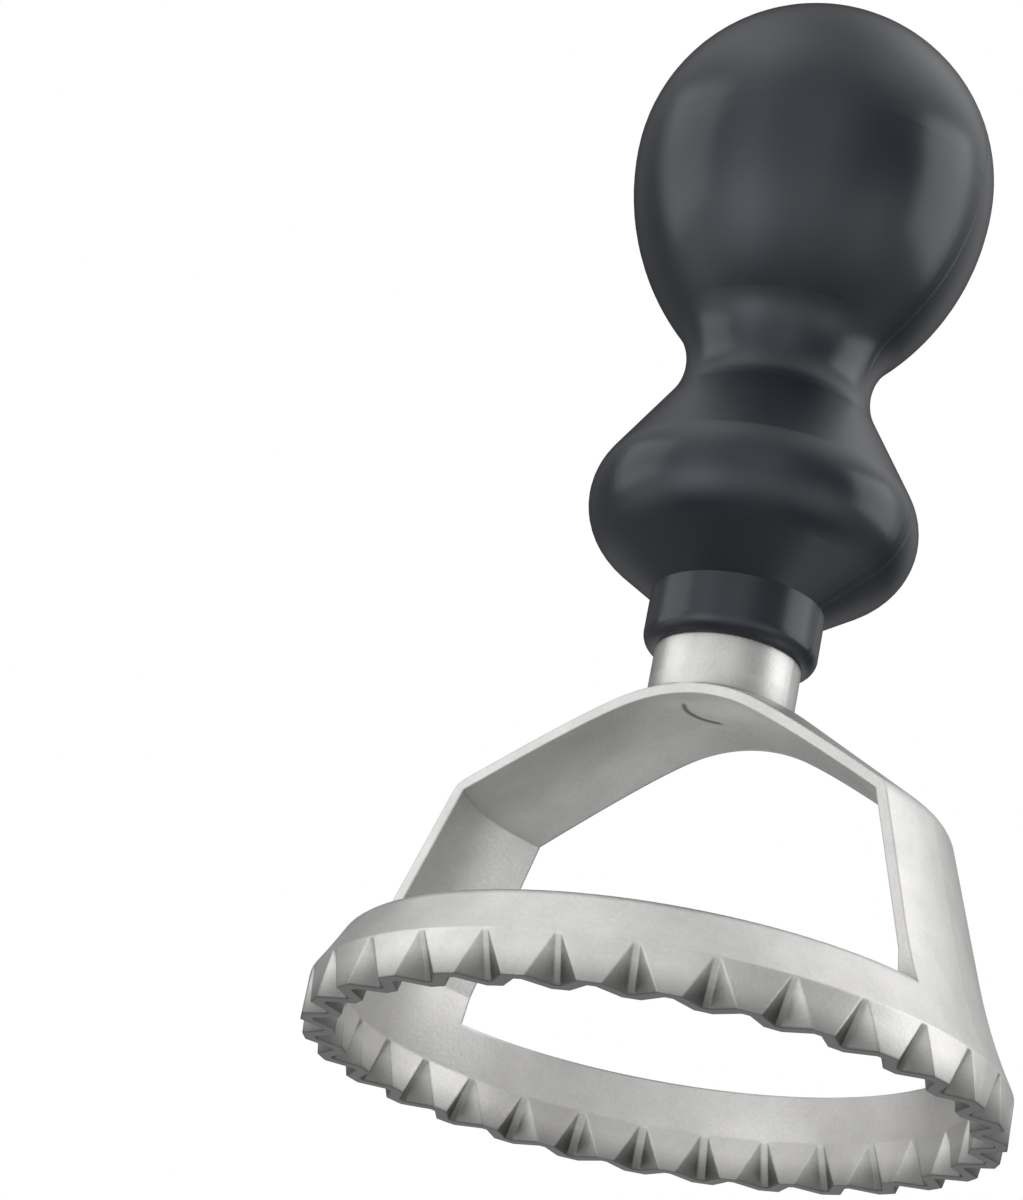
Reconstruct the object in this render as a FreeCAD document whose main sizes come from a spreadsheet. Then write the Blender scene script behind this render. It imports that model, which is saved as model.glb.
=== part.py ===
import FreeCAD, Part
import math
import os
import Sketcher

# Ravioli stamp: a cast aluminium ring with a fluted cutting skirt, carried by a
# folded bridge and a short neck, under a turned-looking plastic knob handle.
# Millimetres. The ring's cutting rim lies on z = 0, the handle rises along +Z
# and the bridge spans the ring along X.

doc = FreeCAD.newDocument("ravioli_stamp")


# Sizes

SIZES = [
    # cutting ring
    ("tooth_count", 30, "flutes round the skirt"),
    ("tip_radius", 35.0, "outside of the teeth"),
    ("rim_wall", 1.2, "wall of the skirt"),
    ("flute_depth", 2.3, "flutes at the rim, inside and outside"),
    ("flute_height", 4.3, "tip of the outer flutes above the rim"),
    ("flute_floor", 0.6, "flat at the bottom of an outer flute"),
    ("land_width", 2.1, "outer land at the rim"),
    ("core_flute_height", 4.3, "tip of the inner flutes above the rim"),
    ("core_flute_floor", 0.8, "flat at the bottom of an inner flute"),
    ("core_land_width", 1.9, "inner land at the rim"),
    ("skirt_height", 4.4, "height of the upright fluted skirt"),
    ("ring_height", 9.2, "top of the ring"),
    ("throat_lean", 10.2, "lean of the ring's inside from upright, degrees"),
    ("lip_rounding", 1.1, "outer edge of the ring's top"),
    # bridge
    ("strap_width", 15.2, "width of the bridge at its crown"),
    ("strap_draft", 3.2, "draft of the bridge's two sides, degrees"),
    ("arm_foot", 12.0, "where the arms begin on the ring's inside"),
    ("arm_lean", 18.4, "lean of the arms from upright, degrees"),
    ("arm_wall", 1.03, "thickness of the arms"),
    ("flare_radius", 56.0, "sweep from the arms out to the skirt"),
    ("fold_rounding", 2.5, "outside of the fold between arm and roof"),
    ("roof_slope", 32.6, "fall of the roof from its crown, degrees"),
    ("roof_wall", 1.05, "thickness of the roof"),
    ("crown_height", 40.7, "underside of the roof at its middle"),
    ("crown_rounding", 19.5, "rounding of the crown, underneath"),
    # neck
    ("neck_radius", 7.6, "neck under the handle"),
    ("neck_height", 4.15, "shoulder that the handle sits on, above the roof"),
    ("spigot_radius", 6.0, "spigot inside the handle"),
    ("spigot_height", 8.0, "spigot above the shoulder"),
    # stud
    ("stud_radius", 3.0, "threaded stud, over its thread"),
    ("stud_length", 34.0, "stud"),
    ("stud_chamfer", 0.6, "both ends of the stud"),
    ("stud_seat", 0.15, "metal left under the stud, above the roof"),
    ("bore_clearance", 0.2, "round the stud and the spigot"),
    ("end_clearance", 1.0, "above the stud and the spigot"),
    # handle
    ("collar_radius", 9.05, "collar at the foot of the handle"),
    ("collar_rounding", 1.6, "lower edge of the collar"),
    ("collar_height", 6.1, "where the collar meets the belly, above the shoulder"),
    ("belly_radius", 17.25, "widest part of the belly"),
    ("belly_rounding", 7.15, "rounding of the belly"),
    ("belly_level", 15.7, "widest part of the belly, above the shoulder"),
    ("waist_radius", 9.9, "narrowest part of the waist"),
    ("waist_rounding", 8.0, "hollow of the waist"),
    ("ball_radius", 19.3, "knob"),
    ("ball_level", 56.1, "widest part of the knob, above the shoulder"),
    ("pear_rounding", 28.0, "fall of the knob towards the waist"),
]

sheet = doc.addObject("Spreadsheet::Sheet", "sizes")
for row, (name, value, note) in enumerate(SIZES, start=1):
    sheet.set("A%d" % row, name)
    sheet.set("B%d" % row, str(value))
    sheet.set("C%d" % row, note)
    sheet.setAlias("B%d" % row, name)
doc.recompute()

# Values that follow from the sizes
LEAN = "(sizes.arm_lean * 1deg)"
SLOPE = "(sizes.roof_slope * 1deg)"
BORE_RADIUS = "(sizes.tip_radius - sizes.flute_depth - sizes.rim_wall)"
THROAT = (f"({BORE_RADIUS} - (sizes.arm_foot - sizes.skirt_height)"
          f" * tan(sizes.throat_lean * 1deg))")
APEX = f"(sizes.crown_height + sizes.crown_rounding * (1 / cos{SLOPE} - 1))"
FOLD_RADIUS = (f"(({THROAT} - ({APEX} - sizes.arm_foot) * tan{LEAN})"
               f" / (1 - tan{LEAN} * tan{SLOPE}))")
FOLD_HEIGHT = f"({APEX} - {FOLD_RADIUS} * tan{SLOPE})"
OUTER_FOLD_RADIUS = (
    f"({FOLD_RADIUS} + (sizes.arm_wall * cos{SLOPE} - sizes.roof_wall * sin{LEAN})"
    f" / cos({LEAN} + {SLOPE}))")
OUTER_FOLD_HEIGHT = (
    f"({FOLD_HEIGHT} + (sizes.roof_wall * cos{LEAN} - sizes.arm_wall * sin{SLOPE})"
    f" / cos({LEAN} + {SLOPE}))")
CROWN_CENTRE = "(sizes.crown_height - sizes.crown_rounding)"
ROOF_TOP = "(sizes.crown_height + sizes.roof_wall)"
SHOULDER = f"({ROOF_TOP} + sizes.neck_height)"
STUD_FOOT = f"({ROOF_TOP} + sizes.stud_seat)"
COLLAR_TOP = f"({SHOULDER} + sizes.collar_height)"
BELLY = f"({SHOULDER} + sizes.belly_level)"
BALL = f"({SHOULDER} + sizes.ball_level)"
HALF_PITCH = "180deg / sizes.tooth_count"
OVERCUT = "1"


def number(expression):
    """The present value of an expression of the sheet."""
    value = sheet.evalExpression(expression)
    return float(getattr(value, "Value", value))


# Helpers for sketches and features

def origin_plane(body, role):
    return next(item for item in body.Origin.OriginFeatures if item.Role == role)


def new_sketch(body, name, role, level=None):
    """An empty sketch on one of the body's own planes, raised to a level."""
    sketch = body.newObject("Sketcher::SketchObject", name)
    sketch.AttachmentSupport = (origin_plane(body, role), [""])
    sketch.MapMode = "FlatFace"
    if level is not None:
        sketch.setExpression("AttachmentOffset.Base.z", level)
    return sketch


def point(x, z):
    return FreeCAD.Vector(x, z, 0)


def pin(sketch, geometry, end, x, z):
    """Hold one end of a line or arc at a place given by two expressions."""
    for kind, place in (("DistanceX", x), ("DistanceY", z)):
        value = number(place)
        row = sketch.addConstraint(Sketcher.Constraint(kind, -1, 1, geometry, end, value))
        sketch.setExpression("Constraints[%d]" % row, place)


def size(sketch, kind, geometry, expression):
    """A radius or an angle that follows an expression."""
    value = number(expression)
    if kind == "Angle":
        value = math.radians(value)
    row = sketch.addConstraint(Sketcher.Constraint(kind, geometry, value))
    sketch.setExpression("Constraints[%d]" % row, expression)


def join(sketch, kind, first, first_end, second, second_end):
    sketch.addConstraint(Sketcher.Constraint(kind, first, first_end, second, second_end))


def polygon(sketch, corners):
    """A closed outline of straight lines through corners given as expressions."""
    places = [point(number(x), number(z)) for x, z in corners]
    count = len(corners)
    lines = [
        sketch.addGeometry(Part.LineSegment(places[i], places[(i + 1) % count]), False)
        for i in range(count)
    ]
    for i, line in enumerate(lines):
        join(sketch, "Coincident", line, 2, lines[(i + 1) % count], 1)
    for line, (x, z) in zip(lines, corners):
        pin(sketch, line, 1, x, z)
    return lines


def arc(sketch, centre, radius, start, end):
    """An arc about a centre, anticlockwise between two angles in degrees."""
    circle = Part.Circle(point(*centre), FreeCAD.Vector(0, 0, 1), radius)
    return sketch.addGeometry(
        Part.ArcOfCircle(circle, math.radians(start), math.radians(end)), False)


def revolve(body, name, sketch):
    feature = body.newObject("PartDesign::Revolution", name)
    feature.Profile = sketch
    feature.ReferenceAxis = (sketch, ["V_Axis"])
    feature.Angle = 360
    doc.recompute()
    return feature


def cut_through(body, name, sketch):
    """A pocket right through the body, both ways from the sketch."""
    before = body.Tip.Shape.Volume
    feature = body.newObject("PartDesign::Pocket", name)
    feature.Profile = sketch
    feature.Type = "ThroughAll"
    feature.SideType = "Symmetric"
    doc.recompute()
    if not feature.Shape.Volume < before:
        raise RuntimeError("%s cuts nothing" % name)
    return feature


def ring_of(body, name, feature):
    """Repeat a feature once for each tooth."""
    pattern = body.newObject("PartDesign::PolarPattern", name)
    pattern.Originals = [feature]
    pattern.Axis = (origin_plane(body, "Z_Axis"), [""])
    pattern.Angle = 360
    pattern.setExpression("Occurrences", "sizes.tooth_count")
    body.Tip = pattern
    doc.recompute()
    return pattern


# Bell: the casting's outside and its core are both turned shapes, cut to the bridge

def crown(sketch, arm, fold_radius, fold_height, wall):
    """From the top of an arm over the roof to its crown, then down the axis to the foot."""
    rounding = f"(sizes.crown_rounding + {wall})"
    radius = number(rounding)
    slope = number("sizes.roof_slope")
    turn = math.radians(slope)
    centre = number(CROWN_CENTRE)
    touch = point(radius * math.sin(turn), centre + radius * math.cos(turn))
    fold = point(number(fold_radius), number(fold_height))
    roof = sketch.addGeometry(Part.LineSegment(fold, touch), False)
    cap = arc(sketch, (0, centre), radius, 90 - slope, 90)
    axis = sketch.addGeometry(Part.LineSegment(point(0, centre + radius), point(0, 0)), False)
    join(sketch, "Coincident", arm, 2, roof, 1)
    join(sketch, "Tangent", roof, 2, cap, 1)
    join(sketch, "Coincident", cap, 2, axis, 1)
    pin(sketch, roof, 1, fold_radius, fold_height)
    pin(sketch, cap, 3, "0", CROWN_CENTRE)
    size(sketch, "Radius", cap, rounding)
    sketch.addConstraint(Sketcher.Constraint("PointOnObject", axis, 1, -2))
    return axis


def bell_sketch(body):
    """Half section of the ring and of the bell that the bridge is cut from."""
    sketch = new_sketch(body, "bell_section", "XZ_Plane")
    lean = number("sizes.arm_lean")
    turn = math.radians(lean)
    tip = number("sizes.tip_radius")
    skirt = number("sizes.skirt_height")
    sweep = number("sizes.flare_radius")
    fold = FreeCAD.Vector(number(OUTER_FOLD_RADIUS), number(OUTER_FOLD_HEIGHT), 0)
    down = FreeCAD.Vector(math.sin(turn), -math.cos(turn), 0)
    away = FreeCAD.Vector(math.cos(turn), math.sin(turn), 0) * sweep
    reach = point(tip, skirt) - fold - away
    along = reach.dot(down)
    low = fold + down * (along - (along ** 2 - reach.Length ** 2 + sweep ** 2) ** 0.5)
    centre = low + away
    base = sketch.addGeometry(Part.LineSegment(point(0, 0), point(tip, 0)), False)
    skirt_wall = sketch.addGeometry(Part.LineSegment(point(tip, 0), point(tip, skirt)), False)
    flare = arc(sketch, (centre.x, centre.y), sweep, 180 + lean, 180 + lean + 12)
    arm = sketch.addGeometry(Part.LineSegment(low, fold), False)
    join(sketch, "Coincident", base, 2, skirt_wall, 1)
    join(sketch, "Coincident", skirt_wall, 2, flare, 2)
    join(sketch, "Tangent", flare, 1, arm, 1)
    axis = crown(sketch, arm, OUTER_FOLD_RADIUS, OUTER_FOLD_HEIGHT, "sizes.roof_wall")
    join(sketch, "Coincident", axis, 2, base, 1)
    pin(sketch, base, 1, "0", "0")
    pin(sketch, base, 2, "sizes.tip_radius", "0")
    pin(sketch, flare, 2, "sizes.tip_radius", "sizes.skirt_height")
    size(sketch, "Radius", flare, "sizes.flare_radius")
    size(sketch, "Angle", arm, "90 + sizes.arm_lean")
    return sketch


def core_sketch(body):
    """Half section of the space inside the ring and under the bridge."""
    sketch = new_sketch(body, "core_section", "XZ_Plane")
    bore = number(BORE_RADIUS)
    skirt = number("sizes.skirt_height")
    foot = (number(THROAT), number("sizes.arm_foot"))
    fold = (number(FOLD_RADIUS), number(FOLD_HEIGHT))
    under = -number(OVERCUT)
    base = sketch.addGeometry(Part.LineSegment(point(0, under), point(bore, under)), False)
    skirt_wall = sketch.addGeometry(
        Part.LineSegment(point(bore, under), point(bore, skirt)), False)
    throat = sketch.addGeometry(Part.LineSegment(point(bore, skirt), point(*foot)), False)
    arm = sketch.addGeometry(Part.LineSegment(point(*foot), point(*fold)), False)
    join(sketch, "Coincident", base, 2, skirt_wall, 1)
    join(sketch, "Coincident", skirt_wall, 2, throat, 1)
    join(sketch, "Coincident", throat, 2, arm, 1)
    axis = crown(sketch, arm, FOLD_RADIUS, FOLD_HEIGHT, "0")
    join(sketch, "Coincident", axis, 2, base, 1)
    pin(sketch, base, 1, "0", f"-{OVERCUT}")
    pin(sketch, base, 2, BORE_RADIUS, f"-{OVERCUT}")
    pin(sketch, skirt_wall, 2, BORE_RADIUS, "sizes.skirt_height")
    pin(sketch, throat, 2, THROAT, "sizes.arm_foot")
    return sketch


def side_sketch(body):
    """All that lies beside the bridge and above the ring, seen along X."""
    sketch = new_sketch(body, "beside_bridge", "YZ_Plane")
    low = "sizes.ring_height"
    high = SHOULDER
    far = "sizes.tip_radius + 10"

    def half(level):
        return (f"(sizes.strap_width / 2"
                f" + (sizes.crown_height - ({level})) * tan(sizes.strap_draft * 1deg))")

    for sign in ("", "-"):
        polygon(sketch, [
            (f"{sign}{half(low)}", low),
            (f"{sign}({far})", low),
            (f"{sign}({far})", high),
            (f"{sign}{half(high)}", high),
        ])
    return sketch


def neck_sketch(body):
    """Half section of the neck and of its spigot, with the stud's hole."""
    sketch = new_sketch(body, "neck_section", "XZ_Plane")
    root = (f"({CROWN_CENTRE} + sqrt((sizes.crown_rounding + sizes.roof_wall / 2)^2"
            " - (sizes.strap_width / 2)^2))")
    spigot_top = f"({SHOULDER} + sizes.spigot_height)"
    hole = "sizes.stud_radius + sizes.bore_clearance"
    polygon(sketch, [
        ("0", root),
        ("sizes.strap_width / 2", root),
        ("sizes.strap_width / 2", ROOF_TOP),
        ("sizes.neck_radius", SHOULDER),
        ("sizes.spigot_radius", SHOULDER),
        ("sizes.spigot_radius", spigot_top),
        (hole, spigot_top),
        (hole, STUD_FOOT),
        ("0", STUD_FOOT),
    ])
    return sketch


def flute_sketch(body, name, level, turn, floor_radius, open_radius, floor, spread):
    """One cross-section of a flute, wider towards open_radius by spread."""
    sketch = new_sketch(body, name, "XY_Plane", level)
    sketch.setExpression("AttachmentOffset.Rotation.Angle", turn)
    half = f"{floor} / 2"
    wide = f"({half} + abs({open_radius} - {floor_radius}) * {spread})"
    polygon(sketch, [
        (floor_radius, f"-({half})"),
        (open_radius, f"-{wide}"),
        (open_radius, wide),
        (floor_radius, half),
    ])
    return sketch


def flute(body, name, kind, turn, surface, towards, rise, floor, land, clear):
    """A flute that runs out to a point, from just under the rim up to its tip."""
    pitch = f"(2 * pi * {surface} / sizes.tooth_count)"
    spread = (f"((({pitch} - sizes.{land}) - sizes.{floor})"
              f" / 2 / sizes.flute_depth)")
    low = f"-{OVERCUT}"
    low_floor = (f"({surface} {towards} sizes.flute_depth"
                 f" * (1 + {OVERCUT} / sizes.{rise}))")
    open_side = f"({surface} {clear})"
    floor_width = f"sizes.{floor}"
    foot = flute_sketch(body, name + "_foot", low, turn, low_floor, open_side,
                        floor_width, spread)
    tip = flute_sketch(body, name + "_tip", f"sizes.{rise}", turn, surface, open_side,
                       floor_width, spread)
    feature = body.newObject(kind, name)
    feature.Profile = foot
    feature.Sections = [tip]
    feature.Ruled = True
    doc.recompute()
    return feature


def round_edges(body, name, level, radius):
    """Round the level circular edges of the bell that lie at one height."""
    height = number(level)
    base = body.Tip
    edges = [
        "Edge%d" % (i + 1)
        for i, edge in enumerate(base.Shape.Edges)
        if not edge.Degenerated and edge.Curve.TypeId == "Part::GeomCircle"
        and abs(edge.BoundBox.ZMin - height) < 0.01
        and abs(edge.BoundBox.ZMax - height) < 0.01
    ]
    fillet = body.newObject("PartDesign::Fillet", name)
    fillet.Base = (base, edges)
    fillet.setExpression("Radius", radius)
    doc.recompute()
    return fillet


def casting_outside():
    body = doc.addObject("PartDesign::Body", "casting_outside")
    revolve(body, "bell", bell_sketch(body))
    round_edges(body, "fold", OUTER_FOLD_HEIGHT, "sizes.fold_rounding")
    cut_through(body, "bridge_sides", side_sketch(body))
    round_edges(body, "lip", "sizes.ring_height", "sizes.lip_rounding")
    revolve(body, "neck", neck_sketch(body))
    groove = flute(body, "outer_flute", "PartDesign::SubtractiveLoft", HALF_PITCH,
                   "sizes.tip_radius", "-", "flute_height", "flute_floor", "land_width",
                   "+ 2")
    ring_of(body, "outer_flutes", groove)
    return body


# Casting, core: the space inside the ring and under the bridge

def casting_core():
    body = doc.addObject("PartDesign::Body", "casting_core")
    revolve(body, "core", core_sketch(body))
    rib = flute(body, "inner_flute", "PartDesign::AdditiveLoft", "0deg", BORE_RADIUS,
                "+", "core_flute_height", "core_flute_floor", "core_land_width", "- 3")
    ring_of(body, "inner_flutes", rib)
    return body


def make_cutter():
    """The casting: its outside less its core, the flutes half a pitch apart."""
    cutter = doc.addObject("Part::Cut", "cutter")
    cutter.Base = casting_outside()
    cutter.Tool = casting_core()
    return cutter


# Stud between the neck and the handle

def make_stud():
    body = doc.addObject("PartDesign::Body", "stud")
    sketch = new_sketch(body, "stud_section", "XZ_Plane")
    top = f"({STUD_FOOT} + sizes.stud_length)"
    polygon(sketch, [
        ("0", STUD_FOOT),
        ("sizes.stud_radius - sizes.stud_chamfer", STUD_FOOT),
        ("sizes.stud_radius", f"{STUD_FOOT} + sizes.stud_chamfer"),
        ("sizes.stud_radius", f"{top} - sizes.stud_chamfer"),
        ("sizes.stud_radius - sizes.stud_chamfer", top),
        ("0", top),
    ])
    revolve(body, "rod", sketch)
    return body


# Handle

def handle_sketch(body):
    """Half section of the handle, from its seat up to the top of the knob."""
    sketch = new_sketch(body, "handle_section", "XZ_Plane")
    seat = number(SHOULDER)
    collar = number("sizes.collar_radius")
    edge = number("sizes.collar_rounding")
    belly_round = number("sizes.belly_rounding")
    belly = number("sizes.belly_radius") - belly_round
    belly_z = number(BELLY)
    waist_round = number("sizes.waist_rounding")
    waist = number("sizes.waist_radius") + waist_round
    ball = number("sizes.ball_radius")
    ball_z = number(BALL)
    pear = number("sizes.pear_rounding")
    waist_z = ball_z - ((pear + waist_round) ** 2 - (waist - ball + pear) ** 2) ** 0.5
    collar_z = number(COLLAR_TOP)

    base = sketch.addGeometry(Part.LineSegment(
        point(0, seat), point(collar - edge, seat)), False)
    foot = arc(sketch, (collar - edge, seat + edge), edge, -90, 0)
    side = sketch.addGeometry(Part.LineSegment(
        point(collar, seat + edge), point(collar, collar_z)), False)
    under = sketch.addGeometry(Part.LineSegment(
        point(collar, collar_z), point(belly + 5.2, belly_z - 4.9)), False)
    bulge = arc(sketch, (belly, belly_z), belly_round, -43, 32)
    flank = sketch.addGeometry(Part.LineSegment(
        point(belly + 6.1, belly_z + 3.8), point(waist - 6.8, waist_z - 4.2)), False)
    hollow = arc(sketch, (waist, waist_z), waist_round, 138, 212)
    lower = arc(sketch, (ball - pear, ball_z), pear, -42, 0)
    upper = arc(sketch, (0, ball_z), ball, 0, 90)
    axis = sketch.addGeometry(Part.LineSegment(
        point(0, ball_z + ball), point(0, seat)), False)

    join(sketch, "Coincident", base, 2, foot, 1)
    join(sketch, "Tangent", foot, 2, side, 1)
    join(sketch, "Coincident", side, 2, under, 1)
    join(sketch, "Tangent", under, 2, bulge, 1)
    join(sketch, "Tangent", bulge, 2, flank, 1)
    join(sketch, "Tangent", flank, 2, hollow, 2)
    join(sketch, "Tangent", hollow, 1, lower, 1)
    join(sketch, "Coincident", lower, 2, upper, 1)
    join(sketch, "Coincident", upper, 2, axis, 1)
    join(sketch, "Coincident", axis, 2, base, 1)
    pin(sketch, base, 1, "0", SHOULDER)
    pin(sketch, foot, 3, "sizes.collar_radius - sizes.collar_rounding",
        f"{SHOULDER} + sizes.collar_rounding")
    pin(sketch, base, 2, "sizes.collar_radius - sizes.collar_rounding", SHOULDER)
    pin(sketch, side, 2, "sizes.collar_radius", COLLAR_TOP)
    pin(sketch, bulge, 3, "sizes.belly_radius - sizes.belly_rounding", BELLY)
    size(sketch, "Radius", bulge, "sizes.belly_rounding")
    size(sketch, "Radius", hollow, "sizes.waist_rounding")
    row = sketch.addConstraint(Sketcher.Constraint("DistanceX", -1, 1, hollow, 3, waist))
    sketch.setExpression("Constraints[%d]" % row, "sizes.waist_radius + sizes.waist_rounding")
    pin(sketch, lower, 3, "sizes.ball_radius - sizes.pear_rounding", BALL)
    pin(sketch, upper, 3, "0", BALL)
    pin(sketch, upper, 1, "sizes.ball_radius", BALL)
    sketch.addConstraint(Sketcher.Constraint("PointOnObject", axis, 1, -2))
    return sketch


def handle_bore_sketch(body):
    """Half section of the hole that takes the spigot and the stud."""
    sketch = new_sketch(body, "bore_section", "XZ_Plane")
    wide = "sizes.spigot_radius + sizes.bore_clearance"
    narrow = "sizes.stud_radius + sizes.bore_clearance"
    below = f"({SHOULDER} - {OVERCUT})"
    step = f"({SHOULDER} + sizes.spigot_height + sizes.end_clearance)"
    top = f"({STUD_FOOT} + sizes.stud_length + sizes.end_clearance)"
    polygon(sketch, [
        ("0", below),
        (wide, below),
        (wide, step),
        (narrow, step),
        (narrow, top),
        ("0", top),
    ])
    return sketch


def make_handle():
    body = doc.addObject("PartDesign::Body", "handle")
    revolve(body, "moulding", handle_sketch(body))
    bore = body.newObject("PartDesign::Groove", "bore")
    bore.Profile = handle_bore_sketch(body)
    bore.ReferenceAxis = (bore.Profile[0], ["V_Axis"])
    bore.Angle = 360
    doc.recompute()
    return body


# Build, check and write

nodes = [make_cutter(), make_stud(), make_handle()]
doc.recompute()

for item in doc.Objects:
    if "Invalid" in item.State or "Error" in item.State:
        raise RuntimeError("%s did not build: %s" % (item.Name, item.State))

os.makedirs("parts", exist_ok=True)
for node in nodes:
    shape = node.Shape
    if shape.isNull() or not shape.isValid() or len(shape.Solids) != 1:
        raise RuntimeError("%s is not one sound solid" % node.Label)
    shape.exportStep("parts/%s.step" % node.Label)
    box = shape.BoundBox
    print("%-8s volume %8.1f  faces %4d  x %.2f..%.2f  y %.2f..%.2f  z %.2f..%.2f" % (
        node.Label, shape.Volume, len(shape.Faces),
        box.XMin, box.XMax, box.YMin, box.YMax, box.ZMin, box.ZMax))
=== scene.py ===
# %% [markdown]
# # A ravioli stamp, dressed for its photograph
#
# The stamp comes ready made from the CAD model: one aluminium casting, a plastic
# handle, and a hidden steel stud between the two. This lesson gives each of them
# its finish, sets the camera, and lights the stamp. It starts by loading the model
# and keeping its size, because nothing here may change that size.

# %% Load the stamp
import bmesh
import bpy
import math
from mathutils import Matrix, Vector

MM = 0.001


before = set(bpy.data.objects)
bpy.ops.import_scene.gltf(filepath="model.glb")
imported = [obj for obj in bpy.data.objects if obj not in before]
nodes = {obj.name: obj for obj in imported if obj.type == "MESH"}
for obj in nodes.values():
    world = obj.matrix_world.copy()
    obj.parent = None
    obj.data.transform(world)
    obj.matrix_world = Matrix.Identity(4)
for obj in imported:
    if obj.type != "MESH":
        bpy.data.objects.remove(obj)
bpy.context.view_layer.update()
print("pieces:", sorted(nodes))


# %% [markdown]
# ## Smooth surfaces
#
# A CAD model arrives as flat facets. The casting and the handle are smooth, with
# a few crisp edges, such as the collar's step and the folds of the bridge. So the
# facets are shaded smooth wherever two of them meet at a shallow angle, and every
# sharper edge stays sharp.

# %% Shade the curved faces smooth
SHARP_EDGE = math.radians(28)


def shade_smooth(piece):
    for face in piece.data.polygons:
        face.use_smooth = True
    piece.data.set_sharp_from_angle(angle=SHARP_EDGE)


for piece in nodes.values():
    shade_smooth(piece)
print("shaded smooth:", len(nodes), "pieces")


# %% [markdown]
# ## A helper for node trees
#
# Every finish below is a short chain of nodes that ends in one Principled shader,
# and the studio's light is a chain of nodes too. Built one socket at a time, such a
# chain is long and hard to follow. This helper adds a node, fills in its inputs and
# hands back the output that the next node needs, all in one line. An input takes
# either a plain value or another node's output, which is then wired to it.

# %% Add nodes in one line each
class Graph:
    def __init__(self, tree):
        self.tree = tree

    def fill(self, node, *listed, **named):
        """Fill in inputs by their place or name. From_Min stands for From Min."""
        for key, value in [*enumerate(listed), *named.items()]:
            socket = node.inputs[key if isinstance(key, int) else key.replace("_", " ")]
            if isinstance(value, bpy.types.NodeSocket):
                self.tree.links.new(value, socket)
            else:
                socket.default_value = value

    def add(self, kind, *listed, output=0, settings=None, **named):
        node = self.tree.nodes.new("ShaderNode" + kind)
        for name, value in (settings or {}).items():
            setattr(node, name, value)
        self.fill(node, *listed, **named)
        return node.outputs[output]

    def number(self, operation, *numbers):
        return self.add("Math", *numbers, settings={"operation": operation})

    def vector(self, operation, *vectors, **named):
        output = "Value" if operation in ("DOT_PRODUCT", "LENGTH") else "Vector"
        return self.add("VectorMath", *vectors, output=output,
                        settings={"operation": operation}, **named)

    def spread(self, value, curve="LINEAR", **limits):
        return self.add("MapRange", settings={"interpolation_type": curve},
                        Value=value, **limits)

    def noise(self, place, scale, detail, roughness):
        return self.add("TexNoise", Vector=place, Scale=scale, Detail=detail,
                        Roughness=roughness)

    def colours(self, value, *stops):
        ramp = self.tree.nodes.new("ShaderNodeValToRGB")
        self.fill(ramp, Fac=value)
        for element, (position, colour) in zip(ramp.color_ramp.elements, stops):
            element.position = position
            element.color = colour
        return ramp.outputs["Color"]


print("node helper ready")


# %% [markdown]
# ## Starting and wearing a material
#
# A new material already holds a Principled shader, so a finish only has to feed
# that shader's inputs. The patterns are laid out on Object coordinates, the piece's
# own place in metres, so they keep their size and stay put on the piece from
# wherever it is seen.

# %% Start a material and put it on
def new_material(name):
    material = bpy.data.materials.new(name)
    material.use_nodes = True
    tree = material.node_tree
    return material, Graph(tree), tree.nodes["Principled BSDF"]


def own_place(graph):
    return graph.add("TexCoord", output="Object")


def dress(piece, material):
    piece.data.materials.clear()
    piece.data.materials.append(material)
    print(piece.name, "wears", material.name)


print("material helpers ready")


# %% [markdown]
# ## The casting: the colour of blasted aluminium
#
# A sand-blasted casting is a dull, even silver. Close up it is full of tiny pits,
# so it has a fine grain, and the light on it breaks into faint cloudy patches. A
# fine noise gives the grain, a coarse one gives the clouds, and both change the
# colour only a little. An Ambient Occlusion node finds the flutes and other
# hollows, and darkens the colour there as painted shade.

# %% Mix the casting's colour
CLOUD_SCALE = 210.0
CLOUD_SHARE = 0.35
GRAIN_SHARE = 0.25
TONE_START = 0.2
DULL_SILVER = (0.58, 0.575, 0.565, 1)
CLEAN_SILVER = (0.77, 0.764, 0.75, 1)
HOLLOW_REACH = 3.0 * MM
DEEP_HOLLOW = 0.35
HOLLOW_SHADE_TONE = 0.28


def casting_colour(graph, place, grain):
    cloud = graph.noise(place, CLOUD_SCALE, detail=4.0, roughness=0.55)
    clouds = graph.number("MULTIPLY_ADD", cloud, CLOUD_SHARE, TONE_START)
    tone = graph.number("MULTIPLY_ADD", grain, GRAIN_SHARE, clouds)
    silver = graph.colours(tone, (0.36, DULL_SILVER), (0.66, CLEAN_SILVER))
    # Painted shade: the colour is darkened in the flutes, corners and other hollows that
    # Ambient Occlusion finds.
    openness = graph.add("AmbientOcclusion", output="AO", settings={"samples": 8},
                         Distance=HOLLOW_REACH)
    painted_hollow_shade = graph.spread(openness, From_Min=DEEP_HOLLOW, To_Min=HOLLOW_SHADE_TONE)
    return graph.vector("SCALE", silver, Scale=painted_hollow_shade)


print("clouds about", round(1 / CLOUD_SCALE / MM, 1), "mm across")


# %% [markdown]
# ## The mark under the crown
#
# Under the bridge's crown the casting shows a shallow curved scar, a little over a
# quarter of a circle about the handle's axis. It is too fine for the shape, so the
# finish draws it: dark where a point lies near that circle, on the scar's side of
# the axis, and below the roof's top. The scar is real, but its darkness is painted
# shade, where the scar's shallow step would throw a little shade.

# %% Find the mark
MARK_RADIUS = 3.6 * MM
MARK_HALF_WIDTH = 0.45 * MM
MARK_SIDE = (-0.956, 0.292, 0.0)
MARK_FADES_FROM = 2.0 * MM
MARK_FULL_FROM = 2.6 * MM
ROOF_TOP = 41.0 * MM


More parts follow.
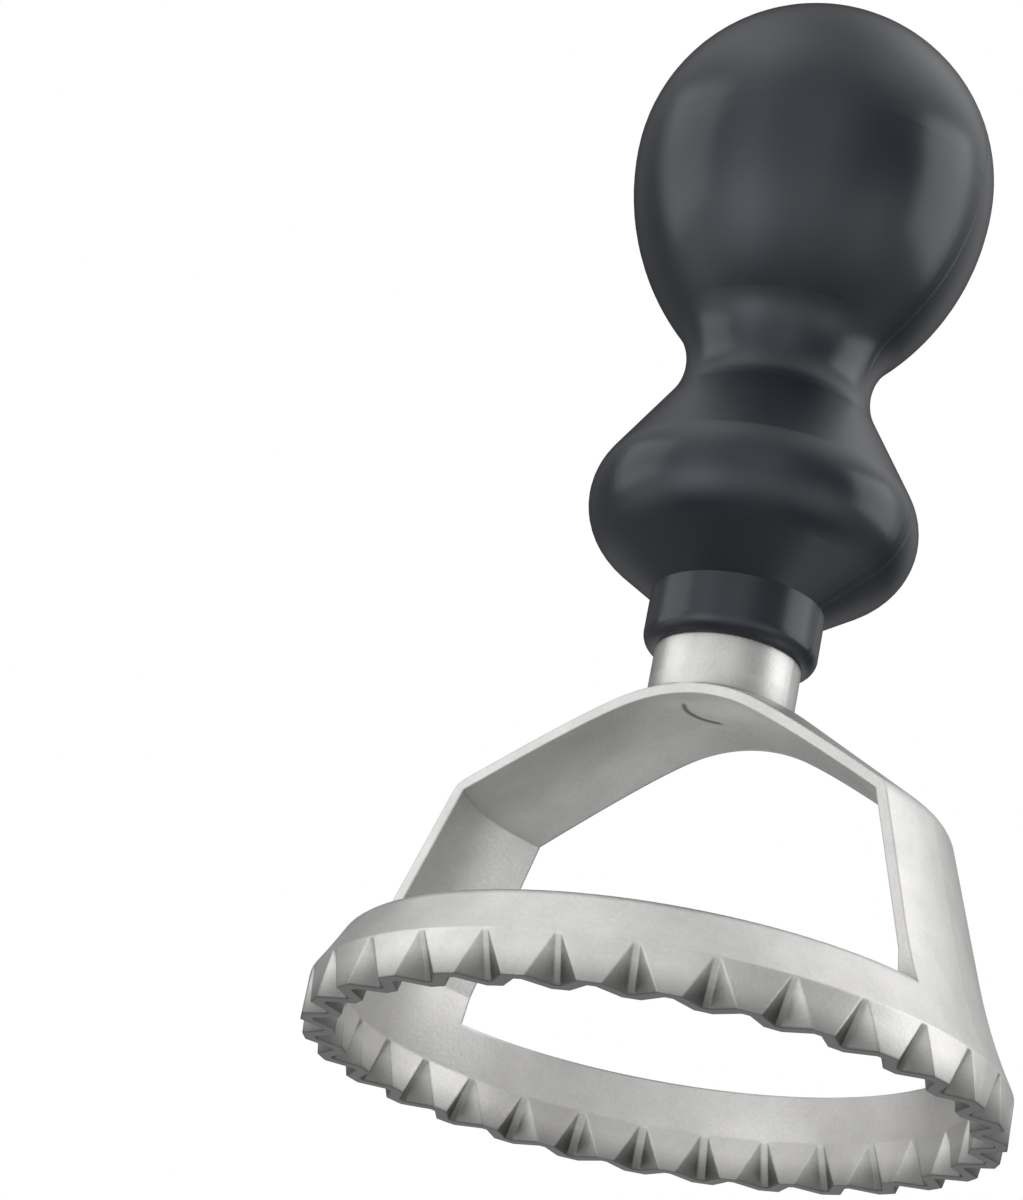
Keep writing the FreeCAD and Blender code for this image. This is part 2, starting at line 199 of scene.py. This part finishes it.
def crown_mark_shade(graph, place, height):
    flat = graph.vector("MULTIPLY", place, (1, 1, 0))
    off_circle = graph.number("SUBTRACT", graph.vector("LENGTH", flat), MARK_RADIUS)
    line = graph.spread(graph.number("ABSOLUTE", off_circle), "SMOOTHSTEP",
                        From_Max=MARK_HALF_WIDTH, To_Min=1.0, To_Max=0.0)
    sideways = graph.vector("DOT_PRODUCT", flat, MARK_SIDE)
    arc = graph.spread(sideways, "SMOOTHSTEP",
                       From_Min=MARK_FADES_FROM, From_Max=MARK_FULL_FROM)
    below = graph.number("LESS_THAN", height, ROOF_TOP)
    return graph.number("MULTIPLY", graph.number("MULTIPLY", line, arc), below)


print("mark on a circle", round(2 * MARK_RADIUS / MM, 1), "mm across")


# %% [markdown]
# ## The casting: soft edges and a grain
#
# Blasting wears every edge round by about a third of a millimetre, and a rounded
# edge catches the light as a thin line. A Bevel node turns the surface near each
# edge as if it were rounded, which costs no extra faces. The grain then tilts it a
# little more through a Bump node. The neck was turned on a lathe after the casting,
# so it is a little smoother.

# %% Make the casting's finish
GRAIN_SCALE = 2600.0
GRAIN_DEPTH = 0.06 * MM
EDGE_ROUNDING = 0.35 * MM
MARK_SHADE_DARKENING = 0.75
NECK_FOOT = 42.2 * MM
BLASTED_ROUGHNESS = 0.42
TURNED_ROUGHNESS = 0.37


def blasted_aluminium():
    material, graph, shader = new_material("blasted_aluminium")
    place = own_place(graph)
    height = graph.add("SeparateXYZ", Vector=place, output="Z")
    grain = graph.noise(place, GRAIN_SCALE, detail=3.0, roughness=0.65)
    colour = casting_colour(graph, place, grain)
    mark = crown_mark_shade(graph, place, height)
    # Painted shade: the colour is darkened along the scar's arc.
    outside_mark_shade = graph.number("MULTIPLY_ADD", mark, -MARK_SHADE_DARKENING, 1.0)
    turned = graph.number("GREATER_THAN", height, NECK_FOOT)
    roughness = graph.spread(turned, To_Min=BLASTED_ROUGHNESS, To_Max=TURNED_ROUGHNESS)
    soft = graph.add("Bevel", settings={"samples": 6}, Radius=EDGE_ROUNDING)
    pitted = graph.add("Bump", Height=grain, Distance=GRAIN_DEPTH, Strength=0.35,
                       Normal=soft)
    graph.fill(shader, Base_Color=graph.vector("SCALE", colour, Scale=outside_mark_shade),
               Metallic=1.0, Roughness=roughness, Normal=pitted)
    return material


dress(nodes["cutter"], blasted_aluminium())


# %% [markdown]
# ## The stud: plated steel
#
# The stud is out of sight inside the handle, but it is a real piece. Fine rings
# along its length stand for the thread: a Wave texture that runs along Z tilts
# the surface with a Bump node, where a modelled thread would be many faces that
# nobody sees.

# %% Make the stud's finish
THREAD_SCALE = 310.0
THREAD_DEPTH = 0.3 * MM
PLATED_STEEL = (0.56, 0.57, 0.58, 1)


def plated_thread():
    material, graph, shader = new_material("plated_thread")
    rings = graph.add("TexWave", output="Fac", settings={"bands_direction": "Z"},
                      Vector=own_place(graph), Scale=THREAD_SCALE)
    thread = graph.add("Bump", Height=rings, Distance=THREAD_DEPTH, Strength=0.8)
    graph.fill(shader, Base_Color=PLATED_STEEL, Metallic=1.0, Roughness=0.3,
               Normal=thread)
    return material


dress(nodes["stud"], plated_thread())


# %% [markdown]
# ## The handle: its parting line
#
# The handle is moulded in two halves, which met on an upright plane near the
# bridge's and left a parting line, a fine dark groove down both sides. A groove as
# narrow as that needs no geometry: the finish measures how far each point lies
# from the plane, and only the nearest fifth of a millimetre counts as the line.

# %% Find the parting line
LINE_TURN = math.radians(6)
LINE_ACROSS = (-math.sin(LINE_TURN), math.cos(LINE_TURN), 0.0)
LINE_HALF_WIDTH = 0.2 * MM


def beside_parting_line(graph, place):
    across = graph.vector("DOT_PRODUCT", place, LINE_ACROSS)
    apart = graph.number("ABSOLUTE", across)
    return graph.spread(apart, "SMOOTHSTEP", From_Max=LINE_HALF_WIDTH)


print("parting line", round(2 * LINE_HALF_WIDTH / MM, 1), "mm wide")


# %% [markdown]
# ## The handle: satin plastic
#
# The handle is a charcoal moulding with a soft sheen. Its skin is nearly even, so
# the finish is a dark base, a lowish roughness and a very fine, shallow orange
# peel. Slight changes in the roughness keep the broad highlights from looking too
# even. The sheen is a little bluish, as it is on the real handle.

# %% Make the handle's finish
PEEL_SCALE = 900.0
PEEL_DEPTH = 0.05 * MM
WEAR_SCALE = 70.0
GROOVE_DEPTH = 0.06 * MM
GROOVE_BLACK = (0.002, 0.002, 0.002, 1)
CHARCOAL = (0.008, 0.0095, 0.015, 1)
BLUISH_SHEEN = (0.90, 0.93, 1.0, 1)


def satin_plastic():
    material, graph, shader = new_material("satin_charcoal_plastic")
    place = own_place(graph)
    beside = beside_parting_line(graph, place)
    colour = graph.colours(beside, (0.0, GROOVE_BLACK), (1.0, CHARCOAL))
    wear = graph.noise(place, WEAR_SCALE, detail=3.0, roughness=0.5)
    roughness = graph.spread(wear, From_Min=0.3, From_Max=0.7, To_Min=0.25, To_Max=0.31)
    groove = graph.add("Bump", Height=beside, Distance=GROOVE_DEPTH, Strength=1.0)
    peel = graph.add("Bump", Height=graph.noise(place, PEEL_SCALE, detail=2.0, roughness=0.5),
                     Distance=PEEL_DEPTH, Strength=0.12, Normal=groove)
    graph.fill(shader, Base_Color=colour, Roughness=roughness, Normal=peel,
               Specular_IOR_Level=0.68, Specular_Tint=BLUISH_SHEEN)
    return material


dress(nodes["handle"], satin_plastic())


# %% [markdown]
# ## The camera
#
# The photograph looks at the stamp from a little below its rim, so that the ring
# opens towards the camera, with the whole stamp leaning to the right. Three turns
# describe that: how far the camera looks up, how far it swings to the side, and
# how far it rolls. A fourth takes the camera round the stamp to where the bridge
# is seen as in the photograph. The long lens keeps the far side of the ring almost
# as large as the near side.

# %% Set up the camera
CAMERA_ROUND = math.radians(29.783)
CAMERA_UP = 0.37525
CAMERA_SWING = -0.06017
CAMERA_ROLL = -0.17803
CAMERA_BACK = 355.4 * MM
CAMERA_LEVEL = -91.7 * MM
LENS_LENGTH = 111.47
SENSOR_WIDTH = 36.0


def turn_pair(first, second, angle):
    return (first * math.cos(angle) + second * math.sin(angle),
            second * math.cos(angle) - first * math.sin(angle))


ahead = Vector((0, math.cos(CAMERA_UP), math.sin(CAMERA_UP)))
up = Vector((0, -math.sin(CAMERA_UP), math.cos(CAMERA_UP)))
right = Vector((1, 0, 0))
ahead, right = turn_pair(ahead, right, CAMERA_SWING)
up, right = turn_pair(up, right, CAMERA_ROLL)
stance = Matrix((right, up, -ahead)).transposed().to_4x4()
stance.translation = Vector((0, -CAMERA_BACK, CAMERA_LEVEL))

lens = bpy.data.cameras.new("camera")
lens.lens = LENS_LENGTH
lens.sensor_width = SENSOR_WIDTH
camera = bpy.data.objects.new("camera", lens)
bpy.context.scene.collection.objects.link(camera)
camera.matrix_world = Matrix.Rotation(CAMERA_ROUND, 4, "Z") @ stance
bpy.context.scene.camera = camera
print("camera at", [round(v, 3) for v in camera.matrix_world.translation])


# %% [markdown]
# ## The floor's finish
#
# The stamp stands on a pale floor, but the photograph looks up from below that
# floor. So the floor shows only to a camera above it, and every other ray passes
# through. The light from the lower screens then reaches the casting from below,
# as it does in a photo studio with a bright table.

# %% Make a floor that shows only from above
FLOOR_PALE = (0.86, 0.86, 0.86, 1)


def pale_floor():
    material, graph, shader = new_material("pale_floor")
    graph.fill(shader, Base_Color=FLOOR_PALE, Roughness=0.8)
    underside = graph.add("NewGeometry", output="Backfacing")
    topside = graph.number("SUBTRACT", 1.0, underside)
    camera_ray = graph.add("LightPath", output="Is Camera Ray")
    shown = graph.number("MULTIPLY", camera_ray, topside)
    surface = graph.add("MixShader", shown, graph.add("BsdfTransparent"), shader.outputs[0])
    graph.fill(material.node_tree.nodes["Material Output"], Surface=surface)
    return material


print("floor finish ready, tone", FLOOR_PALE[0])


# %% [markdown]
# ## Laying the floor
#
# One square is enough for the floor. It lies a hair below the teeth, so that the
# two don't share a plane. The floor is no part of the stamp.

# %% Lay the floor
FLOOR_HALF_SIDE = 1.5
FLOOR_DROP = 0.2 * MM

sheet = bmesh.new()
bmesh.ops.create_grid(sheet, x_segments=1, y_segments=1, size=FLOOR_HALF_SIDE)
floor_mesh = bpy.data.meshes.new("floor")
sheet.to_mesh(floor_mesh)
sheet.free()
floor_mesh.materials.append(pale_floor())
floor = bpy.data.objects.new("floor", floor_mesh)
bpy.context.scene.collection.objects.link(floor)
floor.location.z = -FLOOR_DROP
print("floor laid at", round(floor.location.z / MM, 1), "mm")


# %% [markdown]
# ## The studio's screens
#
# Bright metal looks like whatever stands round it, so the studio matters as much
# as the finish. Large white screens stand in rows round the stamp, some above it
# and some below. Each row is given by how many degrees up it stands, and each
# screen in it by how many degrees round from +X it stands, and its strength. The
# two brightest stand left of the camera, one low and one high. A direction is a
# small vector, worked out from the two angles.

# %% Plan the screens
SCREEN_ROWS = {
    90: {0: 0.20},
    55: {-120: 1.20, -60: 0.45, 0: 0.85, 60: 1.10, 180: 0.60},
    18: {-105: 0.85, -60: 0.80, -15: 0.15, 75: 0.50, 165: 0.20},
    -20: {-150: 1.00, -105: 1.80, -60: 0.95, -15: 1.00, 30: 0.40, 120: 0.65, 165: 0.20},
    -55: {-60: 0.30, 60: 0.70, 120: 0.30, 180: 0.25},
    -90: {0: 0.20},
}


def direction(round_degrees, up_degrees):
    turn = math.radians(round_degrees)
    rise = math.radians(up_degrees)
    return Vector((math.cos(rise) * math.cos(turn), math.cos(rise) * math.sin(turn),
                   math.sin(rise)))


print("screens:", sum(len(row) for row in SCREEN_ROWS.values()))


# %% [markdown]
# ## Screens as glows in the world
#
# A screen could be an area lamp, but two dozen lamps make a noisy picture, and the
# stamp needs only their soft reflections. So each screen is a round glow in the
# world. A Dot Product of the ray's own direction with the screen's is 1 at the
# glow's middle, and a power makes it fall off. The camera itself sees a plain white
# backdrop of strength 1, and the Standard view shows each colour as it is lit.

# %% Hang the screens
GLOW_FALL_OFF = 12.0
BACKDROP_WHITE = 1.0

world = bpy.data.worlds.new("studio")
world.use_nodes = True
bpy.context.scene.world = world
bpy.context.scene.view_settings.view_transform = "Standard"

studio = Graph(world.node_tree)
ray_way = studio.add("TexCoord", output="Generated")
glow = 0.0
for up_degrees, row in SCREEN_ROWS.items():
    for round_degrees, strength in row.items():
        facing = studio.vector("DOT_PRODUCT", ray_way, direction(round_degrees, up_degrees))
        towards = studio.number("MAXIMUM", facing, 0.0)
        spot = studio.number("POWER", towards, GLOW_FALL_OFF)
        glow = studio.number("MULTIPLY_ADD", spot, strength, glow)
camera_ray = studio.add("LightPath", output="Is Camera Ray")
seen = studio.add("Mix", settings={"data_type": "FLOAT"}, Factor=camera_ray,
                  A=glow, B=BACKDROP_WHITE)
studio.fill(world.node_tree.nodes["Background"], Color=(1, 1, 1, 1), Strength=seen)
print("nodes in the world:", len(world.node_tree.nodes))


# %% [markdown]
# ## Two soft lamps
#
# Two lamps with large square heads stand left and right of the stamp. They draw
# the broad pale patches on both sides of the knob and the belly, which a smooth
# glow in the world is too soft for. Each lamp is placed by its direction from the
# stamp, and looks at the stamp's middle.

# %% Place the lamps
STAMP_MIDDLE = Vector((0, 0, 60 * MM))
LAMP_DISTANCE = 0.8
LAMP_WIDTH = 0.6
LAMP_HEIGHT = 0.7
LAMP_RISE = 16


def soft_lamp(name, round_degrees, watts):
    light = bpy.data.lights.new(name, "AREA")
    light.shape = "RECTANGLE"
    light.size = LAMP_WIDTH
    light.size_y = LAMP_HEIGHT
    light.energy = watts
    lamp = bpy.data.objects.new(name, light)
    bpy.context.scene.collection.objects.link(lamp)
    lamp.location = STAMP_MIDDLE + LAMP_DISTANCE * direction(round_degrees, LAMP_RISE)
    towards_stamp = STAMP_MIDDLE - lamp.location
    lamp.rotation_euler = towards_stamp.to_track_quat("-Z", "Y").to_euler()
    print(name, watts, "W")


soft_lamp("left_lamp", -150, watts=1.5)
soft_lamp("right_lamp", 28, watts=2.2)
